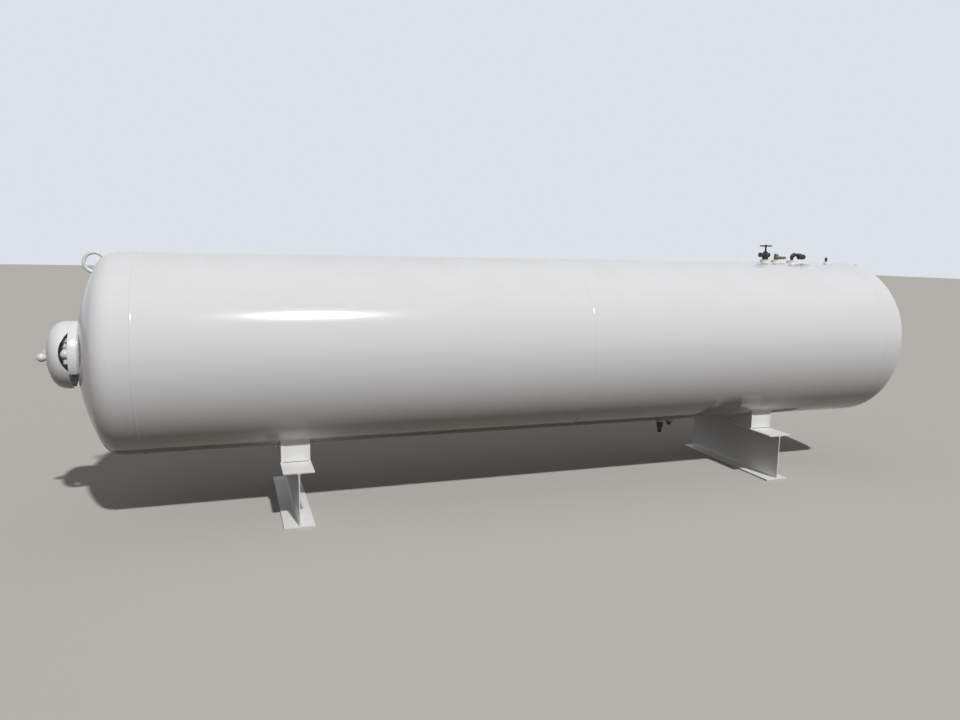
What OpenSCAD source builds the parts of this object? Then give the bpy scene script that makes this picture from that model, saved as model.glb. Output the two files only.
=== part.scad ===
// Horizontal pressure tank of white painted steel plate, on two cross beams.
// X runs along the tank with the hooded end at -X, Z is up and the floor is z = 0.
// The origin is on the floor, in the middle of the whole length.

/* [Tank] */
// Outside diameter of the shell
tank_od = 1067; // [950:1:1250]
// Thickness of the shell and head plate
plate_t = 8; // [5:0.5:16]
// Length of the shell from head seam to head seam
shell_len = 4590; // [4400:10:5200]
// Place of the middle seam, measured from the middle of the shell
mid_seam_x = 134; // [-500:1:500]
// Straight flange of a head, from its seam to the start of the knuckle
head_flange = 93; // [70:1:130]
// Outside crown radius of a head
crown_r = 1067; // [950:1:1300]
// Outside knuckle radius of a head
knuckle_r = 107; // [85:1:140]

/* [Girth welds] */
// Gap between two plate edges that a girth weld fills
weld_gap = 4; // [2:0.5:6]
// Width of the weld cap
weld_w = 15; // [10:1:22]
// Height of the weld cap above the plate
weld_h = 2.5; // [1:0.5:4]

/* [Lifting rings] */
// Mean radius of a lifting ring
ring_r = 50; // [44:1:60]
// Diameter of the ring's round bar
ring_bar = 19; // [12:1:22]
// Distance of the ring's centre from the head's tangent line, along the tank
ring_x = 112; // [104:1:124]
// Height of the ring's centre above the tank's axis
ring_z = 476; // [470:1:490]

/* [Cross beams] */
// Distance of each support from the middle of the shell
support_x = 1535; // [1200:5:1900]
// Length of a cross beam
beam_len = 926; // [700:2:1200]
// Depth of the beam section
beam_h = 305; // [200:1:400]
// Width of the beam flanges
beam_w = 162; // [150:1:220]
// Thickness of the beam web
beam_web = 7; // [5:0.5:14]
// Thickness of the beam flanges
beam_flange = 10; // [6:0.5:18]
// Root radius between web and flange
beam_root = 12; // [4:1:20]

/* [Saddles] */
// Gap between the beam's top and the bottom of the shell
shell_clear = 50; // [35:1:90]
// Length of a saddle across the tank
saddle_len = 549; // [420:1:680]
// Width of a saddle along the tank
saddle_w = 155; // [120:1:160]
// Thickness of the saddle plates
saddle_t = 8; // [5:0.5:14]
// Depth by which an end plate stands back between the side plates
saddle_inset = 4; // [1:0.5:12]

/* [Hood] */
// Outside diameter of collar and hood
hood_od = 350; // [336:1:370]
// Reach of the collar beyond the crown of the head
collar_reach = 26; // [20:1:34]
// Wall of the collar
collar_t = 6; // [4:0.5:9]
// Distance of the pipe opening's edge below the tank's axis
collar_open_z = 80; // [70:1:100]
// Length of the hood's straight skirt
hood_skirt = 26; // [20:1:34]
// Wall of the hood
hood_t = 5; // [3:0.5:8]
// Outside crown radius of the hood
hood_crown_r = 300; // [270:1:330]
// Outside knuckle radius of the hood
hood_knuckle_r = 72; // [60:1:82]
// Radius of the side windows
window_r = 135; // [120:1:140]
// Distance of a window's centre behind the hood's rim
window_back = 95; // [88:1:102]
// Height of a window's centre above the tank's axis
window_z = 30; // [15:1:40]

/* [Hood fastening] */
// Distance of the stud below the tank's axis
stud_drop = 12; // [10:1:18]
// Diameter of the stud that holds the hood
stud_d = 16; // [12:1:20]
// Diameter of the weld boss under the stud
stud_boss_d = 44; // [32:1:50]
// Height of the weld boss
stud_boss_h = 14; // [8:1:20]
// Diameter of the ball knob
knob_d = 45; // [36:1:50]
// Diameter of the knob's neck
knob_neck_d = 26; // [24:1:30]
// Length of the knob's neck
knob_neck_h = 5; // [4:0.5:8]
// Distance of the lock lug above the tank's axis
lug_z = 22; // [21:1:30]
// Width of the lock lug
lug_w = 16; // [14:1:18]
// Height of the lock lug above the hood
lug_h = 18; // [15:1:24]
// Thickness of the lock lug
lug_t = 5; // [3:0.5:8]
// Diameter of the hole in the lock lug
lug_hole_d = 8; // [5:0.5:9]

/* [End fittings] */
// Distance of each end valve from the tank's axis, across the tank
end_valve_y = 92; // [85:1:98]
// Height of the end valves above the tank's axis
end_valve_z = 14; // [5:1:22]
// Diameter of the end couplings
end_coupling_d = 48; // [40:1:54]
// Reach of the end couplings beyond the head's crown
end_coupling_reach = 22; // [16:1:28]
// Diameter of an end valve's round body
end_body_d = 52; // [44:1:58]
// Diameter of an end valve's bonnet
end_bonnet_d = 24; // [18:1:28]
// Diameter of an end valve's cap
end_cap_d = 36; // [30:1:42]
// Height of the cap above the valve's centre
end_cap_z = 62; // [56:1:68]
// Length of the cap
end_cap_h = 28; // [20:1:32]
// Length of the valve's outlet below its centre
end_outlet_h = 50; // [42:1:56]
// Distance of the outlet pipe below the tank's axis
outlet_z = 82; // [76:1:88]
// Diameter of the outlet pipe
outlet_d = 34; // [28:1:38]
// Wall of the outlet pipe
outlet_t = 4; // [3:0.5:5]
// Bend radius of the outlet elbow
outlet_bend = 30; // [26:1:34]
// Length of the outlet's straight end below the elbow
outlet_drop = 45; // [30:1:50]
// Clearance of the hood's notch round the outlet pipe
notch_clear = 10; // [6:1:16]

/* [Top fittings] */
// Diameter of the top couplings
top_coupling_d = 66; // [56:1:72]
// Height of the top couplings above the shell
top_coupling_h = 16; // [12:1:24]
// Distance of the service valve from the right girth seam
service_back = 594; // [582:1:640]
// Distance of the brass valve from the right girth seam
brass_back = 500; // [490:1:508]
// Distance of the relief valve from the right girth seam
relief_back = 399; // [390:1:406]
// Place of the relief valve across the shell
relief_y = -40; // [-50:1:-34]
// Distance of the spare coupling from the right girth seam
spare_back = 383; // [360:1:400]
// Place of the spare coupling across the shell
spare_y = -150; // [-165:1:-135]
// Distance of the vent from the right girth seam
vent_back = 56; // [45:1:115]
// Diameter of the vent coupling
vent_coupling_d = 36; // [30:1:44]
// Height of the vent coupling above the shell
vent_coupling_h = 8; // [6:1:14]
// Diameter of the vent plug
vent_plug_d = 18; // [12:1:22]
// Height of the vent plug
vent_plug_h = 32; // [20:1:40]

/* [Service valve] */
// Diameter of the service valve's body
service_body_d = 46; // [40:1:52]
// Height of the service valve's body
service_body_h = 50; // [44:1:60]
// Reach of the side port from the valve's centre
service_port_reach = 50; // [44:1:56]
// Diameter of the side port
service_port_d = 28; // [22:1:32]
// Reach of the round boss on the valve's other side
service_boss_reach = 34; // [30:1:38]
// Diameter of the round boss
service_boss_d = 32; // [30:1:33]
// Diameter of the stem
service_stem_d = 12; // [9:1:16]
// Height of the stem above the body
service_stem_h = 54; // [48:1:64]
// Diameter of the handwheel
handwheel_d = 84; // [70:1:96]
// Diameter of the handwheel's rim
handwheel_rim = 9; // [7:0.5:12]
// Width of a handwheel spoke
handwheel_spoke_w = 7; // [5:0.5:10]

/* [Brass and relief valves] */
// Diameter of the brass valve's upright body
brass_d = 34; // [28:1:40]
// Height of the brass valve's body
brass_h = 44; // [36:1:50]
// Reach of its outlet from the body's centre
brass_arm_reach = 80; // [70:1:82]
// Diameter of its outlet
brass_arm_d = 22; // [18:1:26]
// Height of the outlet's centre above the coupling
brass_arm_rise = 15; // [14:1:20]
// Diameter of the pipe that carries the relief valve
relief_pipe_d = 24; // [20:1:28]
// Height of the pipe's cross arm above its coupling
relief_arm_rise = 38; // [35:1:42]
// Distance of the relief valve's near end from the upright pipe
relief_reach = 54; // [48:1:60]
// Length of the relief valve's round body
relief_len = 54; // [46:1:62]
// Diameter of the relief valve's round body
relief_d = 36; // [32:1:40]
// Height of the body's centre above the coupling
relief_rise = 25; // [23:1:30]

/* [Drain] */
// Distance of the drain valve from the middle of the right beam
drain_back = 615; // [608:1:660]
// Distance of the drain plug from the middle of the right beam
drain_plug_back = 543; // [520:1:543]
// Diameter of the drain couplings
drain_coupling_d = 56; // [48:1:62]
// Reach of the drain couplings below the shell
drain_coupling_h = 26; // [20:1:34]
// Diameter of the drain valve's body
drain_body_d = 44; // [38:1:50]
// Height of the drain valve's body
drain_body_h = 40; // [30:1:48]
// Diameter of the drain nipple
drain_nipple_d = 27; // [22:1:32]
// Length of the drain nipple below the valve
drain_nipple_h = 34; // [24:1:44]
// Bore of the drain nipple
drain_bore_d = 19; // [14:1:20]
// Side of the square on the drain plug
drain_square = 20; // [16:1:24]
// Height of the square on the drain plug
drain_square_h = 16; // [12:1:22]
// Height of the drain plug's round head
drain_plug_h = 10; // [6:1:14]

/* [Hidden] */

$fn = 96;
paint = "#eceded";
dark_metal = "#3a3b36";
brass = "#a08a45";
black_cap = "#1f2021";

// Distance left between two pieces that seat on each other
seat = 0.3;
// Length by which a cutting shape passes the surface that it cuts
over = 2;
// Depth by which the ball knob runs down over its neck
knob_sink = 3;
// Wall of the handwheel's hub round the stem
hub_wall = 6;
// Wall of an end valve's neck beyond its bonnet's radius
end_neck_wall = 4;
// Thickness by which the relief pipe's elbow stands out round the pipe
elbow_band = 3;

tank_r = tank_od / 2;
axis_z = beam_h + shell_clear + tank_r;
head_depth = dish_depth(tank_r, crown_r, knuckle_r);
crown_x = shell_len / 2 + head_flange + head_depth;
hood_r = hood_od / 2;
hood_rim = collar_reach + seat;
hood_depth = dish_depth(hood_r, hood_crown_r, hood_knuckle_r);
hood_top = hood_rim + hood_skirt + hood_depth;
// Place of the outlet pipe's upright leg, out from the head's crown
outlet_leg = end_coupling_reach + seat + outlet_bend;
knob_base = hood_top + seat;
knob_centre = knob_base + knob_neck_h + knob_d / 2 - knob_sink;
knob_top = knob_centre + knob_d / 2;
// The whole length has the hood and its knob at one end only
tank_shift = knob_top / 2;
crown_top = tank_r + top_coupling_h;
// Places of the fittings along the shell, from its middle
service_x = shell_len / 2 - service_back;
brass_x = shell_len / 2 - brass_back;
relief_x = shell_len / 2 - relief_back;
spare_x = shell_len / 2 - spare_back;
vent_x = shell_len / 2 - vent_back;
drain_x = support_x - drain_back;
drain_plug_x = support_x - drain_plug_back;

// Depth of a dished end beyond its tangent line, from its three outside radii
function dish_depth(r, crown, knuckle) = crown - sqrt(pow(crown - knuckle, 2) - pow(r - knuckle, 2));

// Height of the shell above the tank's axis, at a distance y across it
function shell_rise(y) = sqrt(pow(tank_r, 2) - pow(y, 2));

// Half section of a solid dished end: radius across, height up from its straight edge
module dish_region(r, crown, knuckle, skirt) {
    depth = dish_depth(r, crown, knuckle);
    lean = asin((r - knuckle) / (crown - knuckle));
    far = crown * 1.2;
    intersection() {
        union() {
            square([r, skirt]);
            translate([r - knuckle, skirt]) circle(r = knuckle);
            translate([0, skirt + depth - crown])
                intersection() {
                    circle(r = crown, $fn = 360);
                    polygon([[0, 0], [far * sin(lean), far * cos(lean)], [0, far]]);
                }
        }
        square([r, skirt + depth + over]);
    }
}

// Half section of a dished end of plate thickness t
module dish_section(r, crown, knuckle, skirt, t) {
    difference() {
        dish_region(r, crown, knuckle, skirt);
        translate([0, -over]) dish_region(r - t, crown - t, knuckle - t, skirt + over);
    }
}

// Puts children in the tank's own frame: x from the middle of the shell, z from its axis
module at_tank() {
    translate([tank_shift, 0, axis_z]) children();
}

// Turns children's Z outward along the tank, from the middle of the shell: side is -1 or 1
module along_tank(side, from) {
    at_tank() translate([side * from, 0, 0]) rotate([0, side * 90, 0]) children();
}

// Puts children on the hooded head: Z points out of the tank, X points up and z = 0 is the crown
module at_hooded_head() {
    at_tank() translate([-crown_x, 0, 0]) rotate([0, -90, 0]) children();
}

// Solid round bar that stands for the inside and the plate of the shell
module shell_solid(grow) {
    rotate([0, 90, 0]) cylinder(r = tank_r + grow, h = shell_len + 2 * head_flange, center = true, $fn = 180);
}

// Solid outer form of the head at +X and its flange, grown by a clearance
module head_solid(grow) {
    translate([shell_len / 2, 0, 0]) rotate([0, 90, 0])
        rotate_extrude($fn = 180)
            dish_region(tank_r + grow, crown_r + grow, knuckle_r + grow, head_flange);
}

module shell_course(x_start, x_end) {
    color(paint) at_tank() translate([x_start, 0, 0]) rotate([0, 90, 0])
        rotate_extrude($fn = 180)
            translate([tank_r - plate_t, 0]) square([plate_t, x_end - x_start]);
}

module shell_course_left() {
    shell_course(-shell_len / 2 + weld_gap / 2, mid_seam_x - weld_gap / 2);
}

module shell_course_right() {
    shell_course(mid_seam_x + weld_gap / 2, shell_len / 2 - weld_gap / 2);
}

module dished_head(side) {
    color(paint) along_tank(side, shell_len / 2 + weld_gap / 2)
        rotate_extrude($fn = 180)
            dish_section(tank_r, crown_r, knuckle_r, head_flange - weld_gap / 2, plate_t);
}

module head_left() {
    dished_head(-1);
}

module head_right() {
    dished_head(1);
}

// Weld ring: it fills the gap between the plates and stands proud as a low round cap
module girth_weld(x) {
    cap_r = (pow(weld_w / 2, 2) + pow(weld_h, 2)) / (2 * weld_h);
    color(paint) at_tank() translate([x, 0, 0]) rotate([0, 90, 0])
        rotate_extrude($fn = 180) {
            translate([tank_r - plate_t, -weld_gap / 2]) square([plate_t, weld_gap]);
            intersection() {
                translate([tank_r + weld_h - cap_r, 0]) circle(r = cap_r);
                translate([tank_r, -weld_w / 2]) square([weld_h + over, weld_w]);
            }
        }
}

module girth_weld_left() {
    girth_weld(-shell_len / 2);
}

module girth_weld_middle() {
    girth_weld(mid_seam_x);
}

module girth_weld_right() {
    girth_weld(shell_len / 2);
}

// Round bar bent to a ring and welded on edge to the shoulder of a head: turn is 0 or 180
module lifting_ring(turn) {
    color(paint) at_tank() rotate([0, 0, turn]) difference() {
        translate([shell_len / 2 + head_flange + ring_x, 0, ring_z]) rotate([90, 0, 0])
            rotate_extrude() translate([ring_r, 0]) circle(d = ring_bar, $fn = 32);
        head_solid(seat);
    }
}

module lifting_ring_left() {
    lifting_ring(180);
}

module lifting_ring_right() {
    lifting_ring(0);
}

// Rolled wide flange section, laid across the tank with its web upright
module cross_beam(side) {
    half_gap = (beam_w - beam_web) / 2;
    color(paint) translate([tank_shift + side * support_x, 0, 0]) rotate([90, 0, 0])
        linear_extrude(height = beam_len, center = true)
            difference() {
                translate([-beam_w / 2, 0]) square([beam_w, beam_h]);
                for (hand = [-1, 1]) {
                    difference() {
                        translate([hand * (beam_web + half_gap + over) / 2, beam_h / 2])
                            square([half_gap + over, beam_h - 2 * beam_flange], center = true);
                        for (end = [-1, 1]) beam_root_fill(hand, end);
                    }
                }
            }
}

// The rounded corner between web and flange
module beam_root_fill(hand, end) {
    corner_x = hand * beam_web / 2;
    corner_z = beam_h / 2 + end * (beam_h / 2 - beam_flange);
    difference() {
        translate([corner_x + hand * beam_root / 2, corner_z - end * beam_root / 2])
            square(beam_root, center = true);
        translate([corner_x + hand * beam_root, corner_z - end * beam_root]) circle(r = beam_root, $fn = 48);
    }
}

module cross_beam_left() {
    cross_beam(-1);
}

module cross_beam_right() {
    cross_beam(1);
}

saddle_top = axis_z - sqrt(pow(tank_r + seat, 2) - pow(saddle_len / 2, 2));
saddle_bottom = beam_h + seat;

// Upright plate across the tank, cut on top to the curve of the shell
module saddle_side(side, hand) {
    color(paint)
        translate([tank_shift + side * support_x + hand * (saddle_w - saddle_t) / 2, 0, 0])
            rotate([90, 0, 90])
                linear_extrude(height = saddle_t, center = true)
                    difference() {
                        translate([-saddle_len / 2, saddle_bottom])
                            square([saddle_len, saddle_top - saddle_bottom]);
                        translate([0, axis_z]) circle(r = tank_r + seat, $fn = 360);
                    }
}

// Upright plate along the tank that closes one end of the saddle between its side plates
module saddle_end(side, hand) {
    end_w = saddle_w - 2 * saddle_t - 2 * seat;
    end_y = hand * (saddle_len / 2 - saddle_inset - saddle_t / 2);
    color(paint)
        difference() {
            translate([tank_shift + side * support_x, end_y, (saddle_bottom + saddle_top) / 2])
                cube([end_w, saddle_t, saddle_top - saddle_bottom], center = true);
            at_tank() shell_solid(seat);
        }
}

module saddle_side_left_outer() {
    saddle_side(-1, -1);
}

module saddle_side_left_inner() {
    saddle_side(-1, 1);
}

module saddle_end_left_front() {
    saddle_end(-1, -1);
}

module saddle_end_left_back() {
    saddle_end(-1, 1);
}

module saddle_side_right_inner() {
    saddle_side(1, -1);
}

module saddle_side_right_outer() {
    saddle_side(1, 1);
}

module saddle_end_right_front() {
    saddle_end(1, -1);
}

module saddle_end_right_back() {
    saddle_end(1, 1);
}

// Sphere of the hooded head's crown, grown by the seat, to cut what stands on it
module crown_solid() {
    translate([0, 0, -crown_r]) sphere(r = crown_r + seat, $fn = 360);
}

// Round bar on the hooded head at x, y, from the head's surface outward to a reach
module crown_bar(d, reach, x = 0, y = 0) {
    difference() {
        translate([x, y, -hood_r / 4]) cylinder(d = d, h = reach + hood_r / 4);
        crown_solid();
    }
}

// Ring of pipe welded to the head, open at the bottom for a pipe
module hood_collar() {
    color(paint) at_hooded_head() difference() {
        rotate_extrude()
            difference() {
                translate([hood_r - collar_t, -hood_r / 4]) square([collar_t, collar_reach + hood_r / 4]);
                translate([0, -crown_r]) circle(r = crown_r + seat, $fn = 720);
            }
        translate([-hood_r - collar_open_z, 0, 0])
            cube([2 * hood_r, 2 * hood_r + over, 2 * hood_r], center = true);
    }
}

// Pressed cap over the end fittings, with a round window cut into its rim on each side
module fittings_hood() {
    color(paint) at_hooded_head() difference() {
        translate([0, 0, hood_rim]) rotate_extrude()
            dish_section(hood_r, hood_crown_r, hood_knuckle_r, hood_skirt, hood_t);
        translate([window_z, 0, hood_rim - window_back]) rotate([90, 0, 0])
            cylinder(r = window_r, h = 2 * hood_r + over, center = true);
        outlet_notch();
        translate([-stud_drop, 0, hood_top / 2]) cylinder(d = stud_d + 2 * seat, h = hood_top);
    }
}

// Round-ended notch in the bottom of the hood's rim, which lets the outlet pipe by
module outlet_notch() {
    notch_r = outlet_d / 2 + notch_clear;
    translate([-hood_r, 0, outlet_leg]) rotate([0, 90, 0]) cylinder(r = notch_r, h = hood_r, center = true);
    translate([-hood_r, 0, outlet_leg / 2]) cube([hood_r, 2 * notch_r, outlet_leg], center = true);
}

// Threaded stud on a weld boss, a little below the middle of the head
module hood_stud() {
    color(paint) at_hooded_head() {
        crown_bar(stud_boss_d, stud_boss_h, -stud_drop);
        crown_bar(stud_d, knob_base + knob_neck_h, -stud_drop);
    }
}

// Ball knob screwed down on the stud against the hood
module hood_knob() {
    color(paint) at_hooded_head() translate([-stud_drop, 0, 0]) difference() {
        union() {
            translate([0, 0, knob_base]) cylinder(d = knob_neck_d, h = knob_neck_h);
            translate([0, 0, knob_centre]) sphere(d = knob_d);
        }
        translate([0, 0, knob_base - over]) cylinder(d = stud_d + 2 * seat, h = knob_neck_h + over + seat);
    }
}

// Small drilled plate on the hood's crown, above the knob
module lock_lug() {
    color(paint) at_hooded_head() difference() {
        translate([lug_z, 0, hood_top])
            cube([lug_w, lug_t, 2 * lug_h], center = true);
        translate([lug_z, 0, hood_top + lug_h - lug_w / 2]) rotate([90, 0, 0])
            cylinder(d = lug_hole_d, h = lug_t + over, center = true, $fn = 32);
        translate([0, 0, hood_top - hood_crown_r]) sphere(r = hood_crown_r + seat, $fn = 360);
    }
}

// Short coupling welded to the hooded head at a place beside its axis
module end_coupling(x, y) {
    color(paint) at_hooded_head() crown_bar(end_coupling_d, end_coupling_reach, x, y);
}

// Angle valve: round body on the coupling, bonnet and cap upward, outlet downward
module end_valve(y) {
    body_z = end_coupling_reach + seat + end_body_d / 2;
    color(paint) at_hooded_head() translate([end_valve_z, y, 0]) {
        translate([0, 0, end_coupling_reach + seat])
            cylinder(d = end_bonnet_d + 2 * end_neck_wall, h = end_body_d / 2);
        translate([0, 0, body_z]) {
            sphere(d = end_body_d);
            rotate([0, 90, 0]) cylinder(d = end_bonnet_d, h = end_cap_z + 1);
            translate([end_cap_z, 0, 0]) rotate([0, 90, 0]) cylinder(d = end_cap_d, h = end_cap_h);
            rotate([0, -90, 0]) cylinder(d = end_bonnet_d, h = end_outlet_h);
        }
    }
}

module end_coupling_front() {
    end_coupling(end_valve_z, -end_valve_y);
}

module end_valve_front() {
    end_valve(-end_valve_y);
}

module end_coupling_back() {
    end_coupling(end_valve_z, end_valve_y);
}

module end_valve_back() {
    end_valve(end_valve_y);
}

module outlet_coupling() {
    end_coupling(-outlet_z, 0);
}

// Pipe elbow that turns from the head down through the collar's opening
module outlet_elbow() {
    color(paint) at_hooded_head() translate([-outlet_z, 0, outlet_leg - outlet_bend]) {
        translate([-outlet_bend, 0, 0]) rotate([90, 0, 0])
            rotate_extrude(angle = 90) translate([outlet_bend, 0]) outlet_ring();
        translate([-outlet_bend, 0, outlet_bend]) rotate([0, -90, 0])
            linear_extrude(height = outlet_drop) outlet_ring();
    }
}

module outlet_ring() {
    difference() {
        circle(d = outlet_d, $fn = 48);
        circle(d = outlet_d - 2 * outlet_t, $fn = 48);
    }
}

// Short coupling welded upright on the crown of the shell
module top_coupling(x, y, d, h) {
    color(paint) at_tank() difference() {
        translate([x, y, shell_rise(abs(y) + d / 2) - over])
            cylinder(d = d, h = shell_rise(y) + h - shell_rise(abs(y) + d / 2) + over);
        shell_solid(seat);
    }
}

module service_coupling() {
    top_coupling(service_x, 0, top_coupling_d, top_coupling_h);
}

// Upright valve body with a port to one side, a boss to the other and a stem for the handwheel
module service_valve() {
    port_z = service_body_h * 0.66;
    color(dark_metal) at_tank() translate([service_x, 0, crown_top + seat]) {
        cylinder(d = service_body_d, h = service_body_h);
        translate([0, 0, port_z]) rotate([0, -90, 0]) cylinder(d = service_port_d, h = service_port_reach);
        translate([0, 0, port_z]) rotate([0, 90, 0]) cylinder(d = service_boss_d, h = service_boss_reach);
        cylinder(d = service_stem_d, h = service_body_h + service_stem_h);
    }
}

// Round handwheel with a hub and four spokes
module service_handwheel() {
    hub_d = service_stem_d + 2 * hub_wall;
    wheel_z = crown_top + seat + service_body_h + service_stem_h - handwheel_rim;
    color(dark_metal) at_tank() translate([service_x, 0, wheel_z]) difference() {
        union() {
            rotate_extrude() translate([(handwheel_d - handwheel_rim) / 2, 0])
                circle(d = handwheel_rim, $fn = 32);
            cylinder(d = hub_d, h = handwheel_rim, center = true);
            for (turn = [0, 90]) rotate([0, 0, turn])
                cube([handwheel_d - handwheel_rim, handwheel_spoke_w, handwheel_rim * 0.6], center = true);
        }
        cylinder(d = service_stem_d + 2 * seat, h = handwheel_rim + over, center = true);
    }
}

module brass_coupling() {
    top_coupling(brass_x, 0, top_coupling_d, top_coupling_h);
}

// Short upright brass body with a slim outlet along the tank
module brass_valve() {
    color(brass) at_tank() translate([brass_x, 0, crown_top + seat]) {
        cylinder(d = brass_d, h = brass_h);
        translate([0, 0, brass_arm_rise]) rotate([0, 90, 0]) cylinder(d = brass_arm_d, h = brass_arm_reach);
    }
}

module relief_coupling() {
    top_coupling(relief_x, relief_y, top_coupling_d, top_coupling_h);
}

// Round relief valve that lies along the tank, carried by a pipe that rises beside it and turns over
module relief_valve() {
    relief_foot = shell_rise(relief_y) + top_coupling_h + seat;
    color(black_cap) at_tank() translate([relief_x, relief_y, relief_foot]) {
        cylinder(d = relief_pipe_d, h = relief_arm_rise);
        translate([0, 0, relief_arm_rise]) sphere(d = relief_pipe_d + 2 * elbow_band);
        translate([0, 0, relief_arm_rise]) rotate([0, 90, 0])
            cylinder(d = relief_pipe_d, h = relief_reach + relief_len / 3);
        translate([relief_reach, 0, relief_rise]) rotate([0, 90, 0]) cylinder(d = relief_d, h = relief_len);
    }
}

module spare_coupling() {
    top_coupling(spare_x, spare_y, top_coupling_d, top_coupling_h);
}

module vent_coupling() {
    top_coupling(vent_x, 0, vent_coupling_d, vent_coupling_h);
}

module vent_plug() {
    color(black_cap) at_tank() translate([vent_x, 0, tank_r + vent_coupling_h + seat])
        cylinder(d = vent_plug_d, h = vent_plug_h);
}

// Short coupling welded under the shell
module bottom_coupling(x) {
    color(paint) at_tank() difference() {
        translate([x, 0, -tank_r - drain_coupling_h])
            cylinder(d = drain_coupling_d, h = drain_coupling_h + tank_r - shell_rise(drain_coupling_d / 2) + over);
        shell_solid(seat);
    }
}

module drain_coupling() {
    bottom_coupling(drain_x);
}

// Drain valve body with an open nipple below it
module drain_valve() {
    color(dark_metal) at_tank() translate([drain_x, 0, -tank_r - drain_coupling_h - seat]) mirror([0, 0, 1])
        difference() {
            union() {
                cylinder(d = drain_body_d, h = drain_body_h);
                cylinder(d = drain_nipple_d, h = drain_body_h + drain_nipple_h);
            }
            translate([0, 0, drain_body_h]) cylinder(d = drain_bore_d, h = drain_nipple_h + over);
        }
}

module drain_plug_coupling() {
    bottom_coupling(drain_plug_x);
}

module drain_plug() {
    color(dark_metal) at_tank() translate([drain_plug_x, 0, -tank_r - drain_coupling_h - seat])
        mirror([0, 0, 1]) {
            cylinder(d = drain_body_d, h = drain_plug_h);
            translate([0, 0, drain_plug_h + drain_square_h / 2])
                cube([drain_square, drain_square, drain_square_h], center = true);
        }
}

shell_course_left();
shell_course_right();
head_left();
head_right();
girth_weld_left();
girth_weld_middle();
girth_weld_right();
lifting_ring_left();
lifting_ring_right();
cross_beam_left();
cross_beam_right();
saddle_side_left_outer();
saddle_side_left_inner();
saddle_end_left_front();
saddle_end_left_back();
saddle_side_right_inner();
saddle_side_right_outer();
saddle_end_right_front();
saddle_end_right_back();
hood_collar();
fittings_hood();
hood_stud();
hood_knob();
lock_lug();
end_coupling_front();
end_valve_front();
end_coupling_back();
end_valve_back();
outlet_coupling();
outlet_elbow();
service_coupling();
service_valve();
service_handwheel();
brass_coupling();
brass_valve();
relief_coupling();
relief_valve();
spare_coupling();
vent_coupling();
vent_plug();
drain_coupling();
drain_valve();
drain_plug_coupling();
drain_plug();
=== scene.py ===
"""Looks of a white horizontal pressure tank on two cross beams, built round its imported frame."""
import math

import bmesh
import bpy
from bpy.props import FloatProperty, FloatVectorProperty, PointerProperty
from mathutils import Matrix, Vector


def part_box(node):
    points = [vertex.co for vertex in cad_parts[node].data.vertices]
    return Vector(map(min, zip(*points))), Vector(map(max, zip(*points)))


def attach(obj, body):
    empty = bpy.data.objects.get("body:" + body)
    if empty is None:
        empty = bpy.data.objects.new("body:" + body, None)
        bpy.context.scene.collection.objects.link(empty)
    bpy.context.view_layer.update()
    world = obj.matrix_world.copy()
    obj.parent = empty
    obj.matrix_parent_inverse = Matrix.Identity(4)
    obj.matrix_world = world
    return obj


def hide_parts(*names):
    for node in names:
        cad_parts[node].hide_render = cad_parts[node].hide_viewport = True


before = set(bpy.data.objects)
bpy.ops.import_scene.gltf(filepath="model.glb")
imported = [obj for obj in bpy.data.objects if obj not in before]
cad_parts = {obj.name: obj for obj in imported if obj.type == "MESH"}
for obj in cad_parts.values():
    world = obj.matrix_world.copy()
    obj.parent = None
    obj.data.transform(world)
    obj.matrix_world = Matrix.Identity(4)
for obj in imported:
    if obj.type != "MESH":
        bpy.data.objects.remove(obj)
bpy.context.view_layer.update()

bl_info = {
    "name": "Horizontal Pressure Tank",
    "version": (1, 0, 0),
    "blender": (4, 5, 0),
    "location": "3D View > Sidebar > Tank",
    "description": "Models and paints a white pressure tank, its hood, fittings and beams",
    "category": "Add Mesh",
}

MM = 0.001
QUARTER = math.pi / 2
X_AXIS, Y_AXIS, Z_AXIS = Vector((1, 0, 0)), Vector((0, 1, 0)), Vector((0, 0, 1))
# One millimetre along the tank, and one upwards
ALONG, UP = X_AXIS * MM, Z_AXIS * MM
# Distance at which two points of a mesh count as one
MERGE = 0.005 * MM
# Steps round the shell and heads
TANK_STEPS = 192
# Angle in degrees up to which the facets of a small weld are shaded as one surface
WELD_ANGLE = 70


def middle_of(node):
    low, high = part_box(node)
    return (low + high) / 2


def linear(hex_colour):
    """An sRGB hex colour as linear red, green, blue and alpha."""
    parts = [int(hex_colour[i:i + 2], 16) / 255 for i in (1, 3, 5)]
    return [p / 12.92 if p <= 0.04045 else ((p + 0.055) / 1.055) ** 2.4 for p in parts] + [1.0]


# Both courses have the same box across the tank
SHELL_LOW, SHELL_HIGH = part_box("shell_course_left")
TANK_R = (SHELL_HIGH.z - SHELL_LOW.z) / 2
AXIS_Z = (SHELL_HIGH.z + SHELL_LOW.z) / 2
TANK_AXIS = Vector((0, 0, AXIS_Z))
# Crown of the head that carries the hood
CROWN_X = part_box("head_left")[0].x
SEAM_X = {place: middle_of(f"girth_weld_{place}").x for place in ("left", "middle", "right")}
HOOD_LOW, HOOD_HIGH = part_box("fittings_hood")
HOOD_R = (HOOD_HIGH.y - HOOD_LOW.y) / 2


def length(name, description, millimetres):
    """A size that a user may change, kept in metres."""
    return FloatProperty(name=name, description=description, default=millimetres * MM, unit="LENGTH", min=0)


def colour(name, description, hex_colour):
    return FloatVectorProperty(
        name=name, description=description, default=linear(hex_colour), size=4, subtype="COLOR", min=0, max=1)


def rotation(name, description, degrees):
    return FloatProperty(name=name, description=description, default=math.radians(degrees), unit="ROTATION")


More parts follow.
